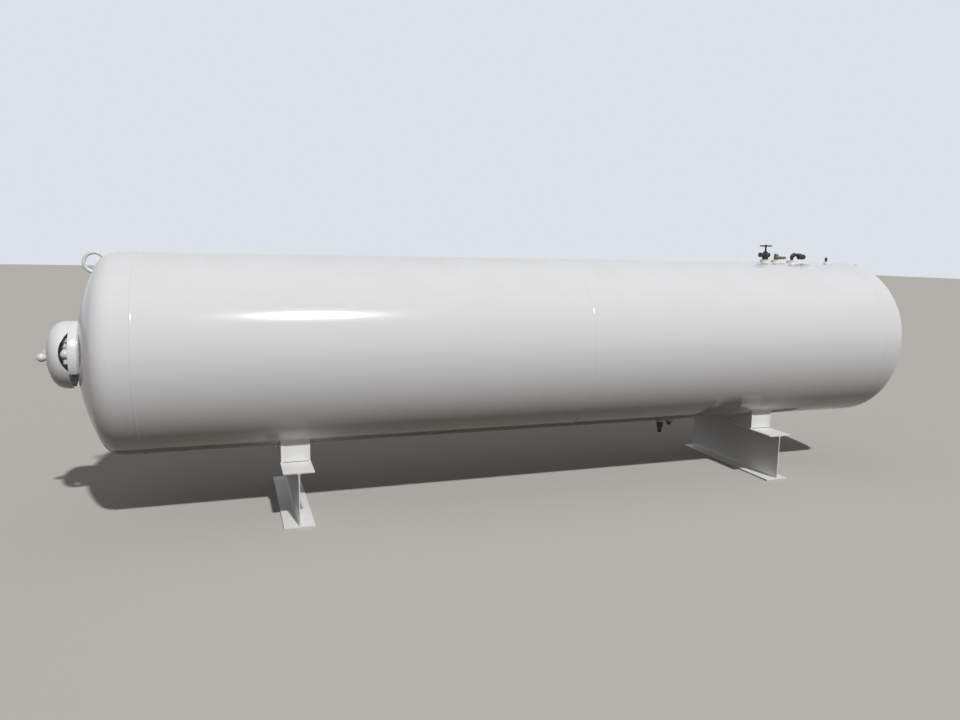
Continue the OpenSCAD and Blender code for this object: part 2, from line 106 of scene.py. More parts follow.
class TankSizes(bpy.types.PropertyGroup):
    """Sizes of the plate work that the frame's boxes don't give"""

    plate: length("Plate", "Thickness of the shell and head plate", 8)
    crown: length("Crown radius", "Outside crown radius of a head", 1067)
    knuckle: length("Knuckle radius", "Outside knuckle radius of a head", 107)
    pull: length("Weld pull", "How far a girth weld draws the plate in", 0.3)
    pull_reach: length("Pull reach", "Distance over which the drawn-in plate recovers", 45)
    girth_cap: length("Girth cap", "Height of a girth weld's cap over the plate beside it", 1.7)
    girth_ripple: length("Girth ripple", "Spacing of the ripples of a girth weld", 7)
    fillet: length("Fillet weld", "Diameter of the round bead that a fillet weld shows", 8)
    fine_fillet: length("Fine fillet weld", "Diameter of the bead round small fittings", 5.5)
    ripple: length("Ripple", "Spacing of the ripples of a fillet weld", 5)
    ring_radius: length("Ring radius", "Mean radius of a lifting ring", 50)
    beam_web: length("Beam web", "Thickness of the beam's web", 7)
    beam_flange: length("Beam flange", "Thickness of the beam's flanges", 10)
    beam_root: length("Beam root", "Radius between web and flange", 12)
    edge: length("Edge", "Rounding of the cut plate edges under the paint", 1.2)
    closer_gap: length("Closer gap", "Open gap between a saddle's end plate and the beam", 4)


class HoodSizes(bpy.types.PropertyGroup):
    """Sizes of the hood on the left head and of what it covers"""

    wall: length("Wall", "Wall of the hood", 5)
    crown: length("Crown radius", "Outside crown radius of the hood", 300)
    knuckle: length("Knuckle radius", "Outside knuckle radius of the hood", 72)
    collar_wall: length("Collar wall", "Wall of the collar", 6)
    open_below: length("Collar opening", "Distance of the collar's cut below the tank's axis", 80)
    window: length("Window radius", "Radius of the window on each side", 135)
    window_back: length("Window set-back", "Distance of a window's centre behind the rim", 95)
    window_up: length("Window height", "Height of a window's centre above the axis", 30)
    notch_gap: length("Notch gap", "Clearance of the notch round the outlet pipe", 10)
    outlet_wall: length("Outlet wall", "Wall of the outlet pipe", 4)
    stud: length("Stud radius", "Radius of the stud that holds the hood", 8)
    stud_boss: length("Stud boss", "Height of the weld boss under the stud", 14)


class Paints(bpy.types.PropertyGroup):
    """Colours of the paints and metals"""

    tank: colour("Tank white", "Gloss enamel of shell, heads and hood", "#E9E9EA")
    support: colour("Support white", "Enamel of beams and saddles", "#EBEBEA")
    dust: colour("Dust", "Fine dry dust that lies on the paint", "#B9AC99")
    iron: colour("Dark iron", "Painted malleable iron of the valves", "#2B2C28")
    brass: colour("Brass", "Weathered brass", "#8A8468")
    verdigris: colour("Patina", "Dull green patina on the brass", "#767A68")
    cap: colour("Cap black", "Rubber and moulded caps", "#17181A")
    floor: colour("Floor", "Plain pale studio floor", "#CBC8C3")
    floor_bounce: colour("Floor bounce", "Dull earth tone of the light that the floor throws back", "#464037")
    backdrop: colour("Backdrop", "Background that the camera and gloss see", "#DDE2E8")


class StudioSettings(bpy.types.PropertyGroup):
    """Camera and light of the studio"""

    camera_place: FloatVectorProperty(
        name="Camera place", description="Place of the camera's lens", default=(-1.7678, -4.2445, 1.4445),
        size=3, unit="LENGTH")
    yaw: rotation("Yaw", "Turn of the view from across the tank towards its right end", 19.143)
    pitch: rotation("Pitch", "Tilt of the view above the level", -8.251)
    roll: rotation("Roll", "Turn of the camera about its view", 1.051)
    lens: FloatProperty(
        name="Lens", description="Focal length on a 36 mm wide sensor, in millimetres", default=27.516, min=1)
    key_energy: FloatProperty(name="Key light", description="Strength of the key light", default=2.42, min=0)
    key_angle: rotation("Key size", "Width of the key light as seen from the tank", 2)
    key_travel: FloatVectorProperty(
        name="Key direction", description="Way in which the key light travels",
        default=(-0.138, 0.9, -0.955), size=3)
    fill: FloatProperty(name="Fill", description="Strength of the light from all round", default=0.19, min=0)
    floor_reach: length("Floor reach", "Half width of the floor", 60000)


def steel():
    return bpy.context.scene.tank_sizes


def hood_sizes():
    return bpy.context.scene.hood_sizes


def paints():
    return bpy.context.scene.tank_paints


# Small steps that every piece is made from


def start():
    """Leaves edit mode and deselects everything."""
    if bpy.context.object and bpy.context.object.mode != "OBJECT":
        bpy.ops.object.mode_set(mode="OBJECT")
    bpy.ops.object.select_all(action="DESELECT")


def pick(piece, *others):
    """Selects a piece, and makes it the active one."""
    start()
    for other in (piece, *others):
        other.select_set(True)
    bpy.context.view_layer.objects.active = piece


def settle(piece):
    """Puts a piece's place and turn into its mesh."""
    pick(piece)
    bpy.ops.object.transform_apply(location=True, rotation=True, scale=True)
    return piece


def close_up():
    """Merges doubled points, turns the faces outwards and leaves edit mode."""
    bpy.ops.mesh.select_all(action="SELECT")
    bpy.ops.mesh.remove_doubles(threshold=MERGE)
    bpy.ops.mesh.normals_make_consistent(inside=False)
    bpy.ops.object.mode_set(mode="OBJECT")


def primitive(name, kind, **settings):
    """Adds one of Blender's primitives, with nothing else selected."""
    start()
    getattr(bpy.ops.mesh, f"primitive_{kind}_add")(**settings)
    piece = bpy.context.object
    piece.name = name
    return piece


def edit(piece):
    """Enters a piece's edit mode, with all of it selected."""
    pick(piece)
    bpy.ops.object.mode_set(mode="EDIT")
    bpy.ops.mesh.select_all(action="SELECT")


def choose(piece, wanted, kind="verts"):
    """Selects, in edit mode, the points or faces that a test wants."""
    bpy.ops.mesh.select_mode(type={"verts": "VERT", "faces": "FACE"}[kind])
    bpy.ops.mesh.select_all(action="DESELECT")
    mesh = bmesh.from_edit_mesh(piece.data)
    for element in getattr(mesh, kind):
        element.select_set(bool(wanted(element)))
    mesh.select_flush_mode()
    bmesh.update_edit_mesh(piece.data)


def draw(name, points, closed=False):
    """Draws a line of edges, and leaves it selected in edit mode: a plane is merged to one point, which
    is extruded from point to point."""
    piece = primitive(name, "plane", size=MM, location=points[0])
    edit(piece)
    bpy.ops.mesh.select_mode(type="VERT")
    bpy.ops.mesh.merge(type="CENTER")
    for here, there in zip(points, points[1:]):
        bpy.ops.mesh.extrude_vertices_move(TRANSFORM_OT_translate={"value": Vector(there) - Vector(here)})
    if closed:
        last = len(points) - 1
        choose(piece, lambda v: v.index in (0, last))
        bpy.ops.mesh.edge_face_add()
    bpy.ops.mesh.select_all(action="SELECT")
    return piece


def turn(name, profile, origin, axis, steps=48, closed=False, unit=MM):
    """Spins a half section once round an axis. The profile's points are radius and distance along it,
    and one that isn't closed is led to the axis at both ends."""
    origin, axis = Vector(origin), Vector(axis).normalized()
    side = axis.orthogonal().normalized()
    if not closed:
        begin, end = ([(0, h)] if r else [] for r, h in (profile[0], profile[-1]))
        profile = begin + profile + end
    points = [origin + side * (r * unit) + axis * (h * unit) for r, h in profile]
    piece = draw(name, points, closed)
    bpy.ops.mesh.spin(steps=steps, angle=math.tau, center=origin, axis=axis)
    close_up()
    return settle(piece)


def rod(name, radius, begin, end, origin, axis, steps):
    """A plain round form to cut with, in metres, between two distances along its axis."""
    return turn(name, [(radius, begin), (radius, end)], origin, axis, steps, unit=1)


def plate(name, outline, thickness):
    """Fills an outline and extrudes it by a thickness, given as a vector."""
    piece = draw(name, outline)
    bpy.ops.mesh.edge_face_add()
    bpy.ops.mesh.extrude_region_move(TRANSFORM_OT_translate={"value": Vector(thickness)})
    close_up()
    return settle(piece)


def finish_with(piece, kind, **settings):
    """Adds a modifier and applies it."""
    pick(piece)
    bpy.ops.object.modifier_add(type=kind)
    modifier = piece.modifiers[-1]
    for name, value in settings.items():
        setattr(modifier, name, value)
    bpy.ops.object.modifier_apply(modifier=modifier.name)
    return piece


def soften(piece, width, angle=35):
    """Rounds a piece's sharp edges by a width in millimetres, with two segments."""
    return finish_with(
        piece, "BEVEL", width=width * MM, segments=2, limit_method="ANGLE", angle_limit=math.radians(angle))


def carve(piece, cutter, operation="DIFFERENCE"):
    """Cuts a piece by another, which is used up."""
    finish_with(piece, "BOOLEAN", object=cutter, operation=operation, solver="EXACT")
    bpy.data.objects.remove(cutter, do_unlink=True)
    return piece


def join(name, pieces):
    pick(*pieces)
    bpy.ops.object.join()
    pieces[0].name = name
    return pieces[0]


def hand_over(piece, coat, *nodes, slot=None, angle=32):
    """Shades a piece, paints it and puts it in the place of its CAD nodes."""
    settle(piece)
    bpy.ops.object.shade_smooth_by_angle(angle=math.radians(angle))
    piece.data.materials.clear()
    piece.data.materials.append(finish(coat))
    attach(piece, "root")
    if nodes:
        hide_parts(*nodes)


def in_mm(*metres):
    return [value / MM for value in metres]


def arc(centre, radius, begin, end, steps):
    """Points of an arc, from one angle to another."""
    turns = [begin + (end - begin) * i / steps for i in range(steps + 1)]
    return [(centre[0] + radius * math.cos(t), centre[1] + radius * math.sin(t)) for t in turns]


def dish(radius, crown, knuckle, skirt, knuckle_steps, crown_steps):
    """Half section of a dished end, from its open edge to its crown."""
    lean = math.asin((radius - knuckle) / (crown - knuckle))
    rise = skirt - math.sqrt((crown - knuckle) ** 2 - (radius - knuckle) ** 2)
    bend = arc((radius - knuckle, skirt), knuckle, 0, QUARTER - lean, knuckle_steps)
    cap = arc((0, rise), crown, QUARTER - lean, QUARTER, crown_steps)
    cap[-1] = (0, rise + crown)
    return bend + cap[1:]


def dish_depth(radius, crown, knuckle):
    return crown - math.sqrt((crown - knuckle) ** 2 - (radius - knuckle) ** 2)


def ring_path(name, centre, axis, radius, pitch, begin=0.0, sweep=math.tau):
    """A round path of short equal steps, or an arc of one, ready to carry a weld bead."""
    centre, axis = Vector(centre), Vector(axis).normalized()
    steps = 2 * max(6, round(radius * abs(sweep) / pitch))
    side = Matrix.Rotation(begin, 3, axis) @ axis.orthogonal().normalized()
    if sweep == math.tau:
        turned = axis.to_track_quat("Z", "Y").to_euler()
        return settle(primitive(
            name, "circle", vertices=steps, radius=radius, location=centre, rotation=turned))
    path = draw(name, [centre + side * radius])
    # Called from a script, spin turns against the right-hand rule
    bpy.ops.mesh.spin(steps=steps, angle=-sweep, center=centre, axis=axis)
    return settle(path)


def line_path(name, begin, end, pitch):
    """A straight path of short equal steps."""
    path = draw(name, [begin, end])
    steps = 2 * max(3, round((Vector(end) - Vector(begin)).length / pitch))
    bpy.ops.mesh.subdivide(number_cuts=steps - 1)
    return settle(path)


def bead(path, width):
    """Makes a path a round weld bead, whose every second step is a little thinner, as ripples."""
    pick(path)
    bpy.ops.object.convert(target="CURVE")
    curve = path.data
    curve.bevel_depth = width / 2
    curve.bevel_resolution = 2
    curve.use_fill_caps = True
    for i, point in enumerate(curve.splines[0].points):
        point.radius = 1.0 if i % 2 else 0.86
    bpy.ops.object.convert(target="MESH")
    return bpy.context.object


def lay_on(path, surface):
    """Moves a path's points to the nearest place on a surface."""
    return finish_with(path, "SHRINKWRAP", target=surface, wrap_method="NEAREST_SURFACEPOINT")


def hexagon(name, centre, axis, flats, height):
    """A hexagon with its corners turned off at both ends, as on a nut. Its sizes are in millimetres."""
    corner, half = flats / math.sqrt(3), height / 2
    piece = settle(primitive(
        name, "cylinder", vertices=6, radius=corner * MM, depth=height * MM, location=centre,
        rotation=axis.to_track_quat("Z", "Y").to_euler()))
    cut = corner * 0.12
    profile = [(corner - cut, -half), (corner + cut, cut * 1.1 - half),
               (corner + cut, half - cut * 1.1), (corner - cut, half)]
    return carve(piece, turn("turned_corners", profile, centre, axis), "INTERSECT")


def thread(radius, depth, begin, end, pitch):
    """Profile points of a thread's crests and roots between two distances along a bar."""
    count = max(2, round((end - begin) / pitch))
    step = (end - begin) / count
    points = []
    for i in range(count):
        points += [(radius - depth, begin + i * step), (radius, begin + (i + 0.5) * step)]
    return points + [(radius - depth, end)]


def wire(tree, node, sockets):
    """Gives a node's sockets their values, or links them to the outputs of other nodes."""
    for socket, value in sockets.items():
        if isinstance(value, bpy.types.NodeSocket):
            tree.links.new(value, node.inputs[socket])
        else:
            node.inputs[socket].default_value = value


def add_node(tree, kind, place, sockets=None, **settings):
    """Adds a node at a place, with its properties set and its sockets wired."""
    node = tree.nodes.new("ShaderNode" + kind)
    node.location = place
    for name, value in settings.items():
        setattr(node, name, value)
    wire(tree, node, sockets or {})
    return node


def new_material(name, roughness, metallic=0.0):
    """A material with its shader's own sockets set, and the object coordinates that its patterns read."""
    material = bpy.data.materials.new(name)
    material.use_nodes = True
    tree = material.node_tree
    tree.nodes.clear()
    shader = add_node(
        tree, "BsdfPrincipled", (600, 0), {"IOR": 1.5, "Metallic": metallic, "Roughness": roughness})
    add_node(tree, "OutputMaterial", (900, 0), {"Surface": shader.outputs["BSDF"]})
    place = add_node(tree, "TexCoord", (-900, 0)).outputs["Object"]
    return material, tree, shader, place


def noise(tree, place, spacing, detail=2.0, at=(-600, 0)):
    """Noise whose features are about one spacing apart, in metres."""
    return add_node(
        tree, "TexNoise", at, {"Vector": place, "Scale": 1 / spacing, "Detail": detail}).outputs["Fac"]


def spread(tree, value, low, high, to_low=0.0, to_high=1.0, at=(-300, 0)):
    """Stretches a value's range from low and high to two others, and stops there."""
    ranges = {"Value": value, "From Min": low, "From Max": high, "To Min": to_low, "To Max": to_high}
    return add_node(tree, "MapRange", at, ranges, clamp=True).outputs["Result"]


def blend_colours(tree, share, first, second, at=(0, 0)):
    return add_node(
        tree, "Mix", at, {"Factor": share, "A": first, "B": second}, data_type="RGBA").outputs[2]


def math_of(tree, operation, first, second, at=(0, -200)):
    return add_node(tree, "Math", at, {0: first, 1: second}, operation=operation).outputs["Value"]


def bump(tree, height, distance, normal=None, at=(300, -300)):
    """A bump whose full height is a distance in metres."""
    sockets = {"Height": height, "Distance": distance}
    if normal is not None:
        sockets["Normal"] = normal
    return add_node(tree, "Bump", at, sockets).outputs["Normal"]


# Finishes


def enamel(name, white, roughness, peel, dust_share):
    """White air-dried gloss enamel, sprayed over blasted plate: a clean body colour, slight orange
    peel, plate that is never quite flat, and a thin dry dust that dulls what faces up."""
    white = list(white)
    material, tree, shader, place = new_material(name, roughness)
    # Dust lies on what faces up, in patches about 220 mm across
    normal = add_node(tree, "NewGeometry", (-900, 300)).outputs["Normal"]
    upward = add_node(tree, "SeparateXYZ", (-700, 300), {0: normal}).outputs["Z"]
    facing_up = spread(tree, upward, 0.2, 1.0, at=(-500, 300))
    patches = spread(tree, noise(tree, place, 0.22, 5.0, (-700, 100)), 0.42, 0.72, at=(-500, 100))
    film = math_of(tree, "MULTIPLY", facing_up, patches, (-300, 200))
    film = math_of(tree, "MULTIPLY", film, dust_share, (-150, 200))
    # The white itself varies a little over about 600 mm
    shade = spread(tree, noise(tree, place, 0.6, 3.0, (-700, -100)), 0.3, 0.7, 0.0, 0.05, (-500, -100))
    body = blend_colours(tree, shade, white, [c * 0.9 for c in white[:3]] + [1.0], (0, 100))
    # Plate waviness about 400 mm across, then the orange peel, drawn a little coarse so that it shows
    wave = bump(tree, noise(tree, place, 0.42, 1.0, (-700, -300)), 0.8 * MM, at=(0, -300))
    peel_height = noise(tree, place, peel, 1.0, (-700, -500))
    wire(tree, shader, {
        "Base Color": blend_colours(tree, film, body, paints().dust, (150, 150)),
        "Roughness": spread(tree, film, 0.0, 1.0, roughness, roughness + 0.35, (300, 50)),
        "Normal": bump(tree, peel_height, 0.03 * MM, wave),
    })
    return material


def dark_iron():
    """Malleable iron valve body under dark paint: cast grain, a dull sheen and lighter worn edges."""
    material, tree, shader, place = new_material("painted_malleable_iron", 0.5)
    iron = paints().iron
    wear = spread(tree, noise(tree, place, 0.02, 4.0), 0.55, 0.75)
    rubbed = [min(1.0, c * 3.2 + 0.02) for c in iron[:3]] + [1.0]
    grain = noise(tree, place, 0.0016, 2.0, (-600, -400))
    wire(tree, shader, {
        "Base Color": blend_colours(tree, wear, iron, rubbed),
        "Roughness": spread(tree, wear, 0, 1, 0.42, 0.62, (0, -150)),
        "Normal": bump(tree, grain, 0.15 * MM),
    })
    return material


def aged_brass():
    """Forged brass left bare outdoors: dull yellow metal under a patchy olive patina."""
    material, tree, shader, place = new_material("weathered_brass", 0.42, metallic=1.0)
    patina = spread(tree, noise(tree, place, 0.018, 4.0), 0.42, 0.62)
    pits = noise(tree, place, 0.0018, 2.0, (-600, -400))
    wire(tree, shader, {
        "Base Color": blend_colours(tree, patina, paints().brass, paints().verdigris),
        "Roughness": spread(tree, patina, 0, 1, 0.34, 0.68, (0, -150)),
        "Normal": bump(tree, pits, 0.08 * MM),
    })
    return material


def rubber_cap():
    """Black moulded rubber that the sun has dulled: matt, slightly grey where dust sits."""
    material, tree, shader, place = new_material("moulded_rubber", 0.62)
    bloom = spread(tree, noise(tree, place, 0.012, 4.0), 0.45, 0.8, 0.0, 0.25)
    grain = noise(tree, place, 0.0009, 1.0, (-600, -400))
    wire(tree, shader, {
        "Base Color": blend_colours(tree, bloom, paints().cap, paints().dust),
        "Normal": bump(tree, grain, 0.06 * MM),
    })
    return material


FINISHES = {
    "tank": lambda: enamel("gloss_tank_enamel", paints().tank, 0.105, 0.009, 0.10),
    "support": lambda: enamel("brushed_support_enamel", paints().support, 0.5, 0.006, 0.16),
    "hood": lambda: enamel("gloss_hood_enamel", paints().tank, 0.24, 0.006, 0.12),
    "fitting": lambda: enamel("dipped_fitting_enamel", paints().tank, 0.3, 0.004, 0.2),
    "iron": dark_iron,
    "brass": aged_brass,
    "rubber": rubber_cap,
}
# Finishes made so far, by their short names
MADE = {}


def finish(name):
    """A finish by its short name, made once."""
    if name not in MADE:
        MADE[name] = FINISHES[name]()
    return MADE[name]


# Tank


def drawn_in(distance):
    """How far the plate is drawn in at a distance from a girth weld."""
    return steel().pull * math.exp(-distance / steel().pull_reach)


def shell_course(name, node):
    """One rolled plate: a spun wall whose ends draw in towards the welds."""
    low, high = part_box(node)
    near = [s * MM for s in (0, 6, 15, 28, 45, 70, 110, 170, 300)]
    span = high.x - low.x
    places = near + [span / 2] + [span - s for s in reversed(near)]
    outer = [(TANK_R - drawn_in(min(p, span - p)), low.x + p) for p in places]
    inner = [(TANK_R - steel().plate, high.x), (TANK_R - steel().plate, low.x)]
    hand_over(turn(name, outer + inner, TANK_AXIS, X_AXIS, TANK_STEPS, closed=True, unit=1), "tank", node)


def head_section(side, node):
    """Outer and inner half section of one head's plate, with distances along X."""
    low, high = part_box(node)
    s = steel()
    skirt = (high.x - low.x) - dish_depth(TANK_R, s.crown, s.knuckle)
    seam = low.x if side > 0 else high.x
    flange = [(TANK_R - drawn_in(d * MM), d * MM) for d in (0, 6, 15, 28, 45, 65)]
    outer = flange + dish(TANK_R, s.crown, s.knuckle, skirt, 14, 26)
    inside = [r - s.plate for r in (TANK_R, s.crown, s.knuckle)]
    inner = [(inside[0], 0)] + dish(*inside, skirt, 8, 14)
    return [[(r, seam + side * d) for r, d in half] for half in (outer[::-1], inner)]


def dished_head(name, side, node):
    outer, inner = head_section(side, node)
    hand_over(turn(name, outer + inner, TANK_AXIS, X_AXIS, TANK_STEPS, unit=1), "tank", node)


def girth_bead(name, seam, node):
    """A machine-laid girth weld: a low cap with crescent ripples, on a root that fills the gap."""
    low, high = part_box(node)
    s = steel()
    half = (high.x - low.x) / 2
    foot = TANK_R - s.pull - 0.1 * MM
    cap = [(foot + s.girth_cap * (1 - (t / 4) ** 2), seam + half * t / 4) for t in range(-4, 5)]
    # The root leaves a hair's room between the two plates
    root_half, neck, inside = 1.8 * MM, foot - 0.4 * MM, TANK_R - s.plate
    root = [(neck, seam + root_half), (inside, seam + root_half),
            (inside, seam - root_half), (neck, seam - root_half)]
    ripples = round(math.tau * TANK_R / s.girth_ripple)
    ring = turn(name, cap + root, TANK_AXIS, X_AXIS, 2 * ripples, closed=True, unit=1)
    edit(ring)

    def on_cap(v, reach):
        return abs(v.co.x - seam) < reach and math.hypot(v.co.y, v.co.z - AXIS_Z) > foot

    def odd_ray(v):
        return round(math.atan2(v.co.y, v.co.z - AXIS_Z) / (math.pi / ripples)) % 2

    choose(ring, lambda v: on_cap(v, half * 0.9) and odd_ray(v))
    bpy.ops.transform.shrink_fatten(value=-0.2 * MM)
    # Each ripple is bowed to a crescent: the nearer its points are to the seam, the further they turn
    for reach, share in ((0.9, 0.5), (0.6, 0.5), (0.3, 0.35)):
        choose(ring, lambda v, reach=reach: on_cap(v, half * reach))
        bpy.ops.transform.rotate(
            value=share * math.pi / ripples, orient_axis="X", center_override=(seam, 0, AXIS_Z))
    close_up()
    hand_over(ring, "tank", node, angle=60)


class TANK_OT_shell(bpy.types.Operator):
    """Rolls the two shell courses"""

    bl_idname = "tank.shell"
    bl_label = "Shell courses"

    def execute(self, context):
        for side in ("left", "right"):
            shell_course(f"shell_plate_{side}", f"shell_course_{side}")
        return {"FINISHED"}


class TANK_OT_heads(bpy.types.Operator):
    """Presses the two dished heads with their straight flanges"""

    bl_idname = "tank.heads"
    bl_label = "Dished heads"

    def execute(self, context):
        dished_head("dished_head_left", -1, "head_left")
        dished_head("dished_head_right", 1, "head_right")
        return {"FINISHED"}


class TANK_OT_girth_welds(bpy.types.Operator):
    """Lays the three girth welds"""

    bl_idname = "tank.girth_welds"
    bl_label = "Girth welds"

    def execute(self, context):
        for place, seam in SEAM_X.items():
            girth_bead(f"girth_bead_{place}", seam, f"girth_weld_{place}")
        return {"FINISHED"}


def lifting_ring(name, side, node):
    """A round bar bent to a ring, cut to the head and welded where it meets it."""
    low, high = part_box(node)
    s = steel()
    bar_r = (high.y - low.y) / 2
    reach = s.ring_radius + bar_r
    outer_x = high.x if side > 0 else low.x
    centre = Vector((outer_x - side * reach, 0, high.z - reach))
    ring = settle(primitive(
        name, "torus", location=centre, rotation=(QUARTER, 0, 0), major_radius=s.ring_radius,
        minor_radius=bar_r, major_segments=96, minor_segments=24))
    head = "head_left" if side < 0 else "head_right"
    outline, _ = head_section(side, head)
    carve(ring, turn("head_form", outline, TANK_AXIS, X_AXIS, TANK_STEPS, unit=1))
    welds = []
    for begin, end in ring_feet(centre, s.ring_radius, side, outline):
        path = ring_path("foot_path", begin, end - begin, bar_r + 1.5 * MM, s.ripple)
        welds.append(bead(lay_on(path, bpy.data.objects["dished_" + head]), s.fine_fillet))
    hand_over(ring, "tank", node)
    hand_over(join(name + "_weld", welds), "tank", angle=WELD_ANGLE)


def ring_feet(centre, radius, side, outline):
    """Places where a ring's centre line enters the head, each with the next point outside it."""
    outline = sorted((side * x, r) for r, x in outline)

    def inside(point):
        along, up = side * point.x, point.z - AXIS_Z
        if along <= outline[0][0]:
            return up < TANK_R
        for (x0, r0), (x1, r1) in zip(outline, outline[1:]):
            if x0 <= along <= x1 and x1 > x0:
                return up < r0 + (r1 - r0) * (along - x0) / (x1 - x0)
        return False

    ring = [centre + Vector((x, 0, z)) for x, z in arc((0, 0), radius, 0, math.tau, 720)[:-1]]
    feet = []
    for here, there in zip(ring, ring[1:] + ring[:1]):
        if inside(here) != inside(there):
            feet.append((here, there) if inside(here) else (there, here))
    return feet


class TANK_OT_lifting_rings(bpy.types.Operator):
    """Bends the two lifting rings and welds them to the heads"""

    bl_idname = "tank.lifting_rings"
    bl_label = "Lifting rings"

    def execute(self, context):
        lifting_ring("lifting_bar_left", -1, "lifting_ring_left")
        lifting_ring("lifting_bar_right", 1, "lifting_ring_right")
        return {"FINISHED"}


# Supports


def cross_beam(name, node):
    """A rolled wide flange section, drawn as its outline and extruded across the tank."""
    low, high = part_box(node)
    s = steel()
    x, half, web = (low.x + high.x) / 2, (high.x - low.x) / 2, s.beam_web / 2
    height, flange, root = high.z, s.beam_flange, s.beam_root
    right = [(half, 0), (half, flange)]
    right += arc((web + root, flange + root), root, -QUARTER, -2 * QUARTER, 5)
    right += arc((web + root, height - flange - root), root, 2 * QUARTER, QUARTER, 5)
    right += [(half, height - flange), (half, height)]
    outline = right + [(-a, b) for a, b in reversed(right)]
    beam = plate(name, [(x + a, low.y, b) for a, b in outline], (0, high.y - low.y, 0))
    hand_over(soften(beam, 1.6, angle=60), "support", node)


class TANK_OT_cross_beams(bpy.types.Operator):
    """Rolls the two beams that lie across under the tank"""

    bl_idname = "tank.cross_beams"
    bl_label = "Cross beams"

    def execute(self, context):
        for side in ("left", "right"):
            cross_beam(f"beam_{side}", f"cross_beam_{side}")
        return {"FINISHED"}


def saddle_plate(name, node, steps, gap=0.0):
    """An upright plate whose top follows the shell, extruded along the tank by its thickness."""
    low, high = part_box(node)
    foot = low.z + gap
    # The cut edge stops a hair short of the shell
    radius = TANK_R + 0.3 * MM
    across = [low.y + (high.y - low.y) * i / steps for i in range(steps + 1)]
    outline = [(low.x, high.y, foot), (low.x, low.y, foot)]
    outline += [(low.x, y, AXIS_Z - math.sqrt(radius ** 2 - y ** 2)) for y in across]
    piece = plate(name, outline, (high.x - low.x, 0, 0))
    hand_over(soften(piece, steel().edge * 0.8 / MM, angle=50), "support", node)


def saddle_welds(side):
    """The fillet welds of one saddle: to the shell, to the beam and at its corners."""
    s = steel()
    outer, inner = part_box(f"saddle_side_{side}_outer"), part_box(f"saddle_side_{side}_inner")
    faces = (min(outer[0].x, inner[0].x), max(outer[1].x, inner[1].x))
    inside = (min(outer[1].x, inner[1].x), max(outer[0].x, inner[0].x))
    half, base = outer[1].y, outer[0].z
    spread_angle = math.asin(half / TANK_R)
    beads = []

    def straight(begin, end, width):
        beads.append(bead(line_path("fillet", begin, end, s.ripple), width))

    for face in faces:
        path = ring_path(
            "shell_fillet", (face, 0, AXIS_Z), X_AXIS, TANK_R, s.ripple,
            begin=start_angle(spread_angle), sweep=2 * spread_angle)
        beads.append(bead(path, s.fillet))
        straight((face, -half, base), (face, half, base), s.fillet)
    for end, corner in (("front", 0), ("back", 1)):
        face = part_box(f"saddle_end_{side}_{end}")[corner].y
        shell_z = AXIS_Z - math.sqrt(TANK_R ** 2 - face ** 2)
        straight((inside[0], face, shell_z), (inside[1], face, shell_z), s.fine_fillet)
        for x in inside:
            straight((x, face, base + s.closer_gap), (x, face, shell_z), s.fine_fillet)
    hand_over(join(f"saddle_welds_{side}", beads), "support", angle=WELD_ANGLE)


def start_angle(half_spread):
    """Turn about X at which an arc of two such spreads, centred on the lowest point, begins."""
    side = X_AXIS.orthogonal().normalized()
    lowest = math.atan2(-Z_AXIS.dot(X_AXIS.cross(side)), -Z_AXIS.dot(side))
    return lowest - half_spread


class TANK_OT_saddles(bpy.types.Operator):
    """Cuts the saddle plates to the shell and welds them up"""

    bl_idname = "tank.saddles"
    bl_label = "Saddles"

    def execute(self, context):
        for side in ("left", "right"):
            for place in ("outer", "inner"):
                saddle_plate(f"saddle_plate_{side}_{place}", f"saddle_side_{side}_{place}", 48)
            for place in ("front", "back"):
                saddle_plate(
                    f"saddle_closer_{side}_{place}", f"saddle_end_{side}_{place}", 4, steel().closer_gap)
            saddle_welds(side)
        return {"FINISHED"}


# Hood


def head_face(radius):
    """X of the hooded head's surface at a radius from the tank's axis."""
    crown = steel().crown
    return CROWN_X + crown - math.sqrt(crown ** 2 - radius ** 2)


class TANK_OT_hood_collar(bpy.types.Operator):
    """Cuts the pipe collar, opens it below and welds it to the head"""

    bl_idname = "tank.hood_collar"
    bl_label = "Hood collar"

    def execute(self, context):
        h, s = hood_sizes(), steel()
        inner, edge = HOOD_R - h.collar_wall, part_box("hood_collar")[0].x
        profile = [(HOOD_R, edge), (HOOD_R, head_face(HOOD_R)), (inner, head_face(inner)), (inner, edge)]
        collar = turn("hood_ring", profile, TANK_AXIS, X_AXIS, 128, closed=True, unit=1)
        edit(collar)
        bpy.ops.mesh.bisect(
            plane_co=(0, 0, AXIS_Z - h.open_below), plane_no=(0, 0, 1), use_fill=True, clear_inner=True)
        close_up()
        soften(collar, 1.2, angle=50)
        hand_over(collar, "hood", "hood_collar")
        # The weld stops a little short of the collar's cut
        sweep = 2 * (math.pi - math.acos(h.open_below / HOOD_R)) - 0.04
        begin = start_angle(0) + math.pi - sweep / 2
        centre = (head_face(HOOD_R), 0, AXIS_Z)
        weld = bead(ring_path("hood_ring_weld", centre, X_AXIS, HOOD_R, s.ripple, begin, sweep), s.fillet)
        hand_over(weld, "hood", angle=WELD_ANGLE)
        return {"FINISHED"}


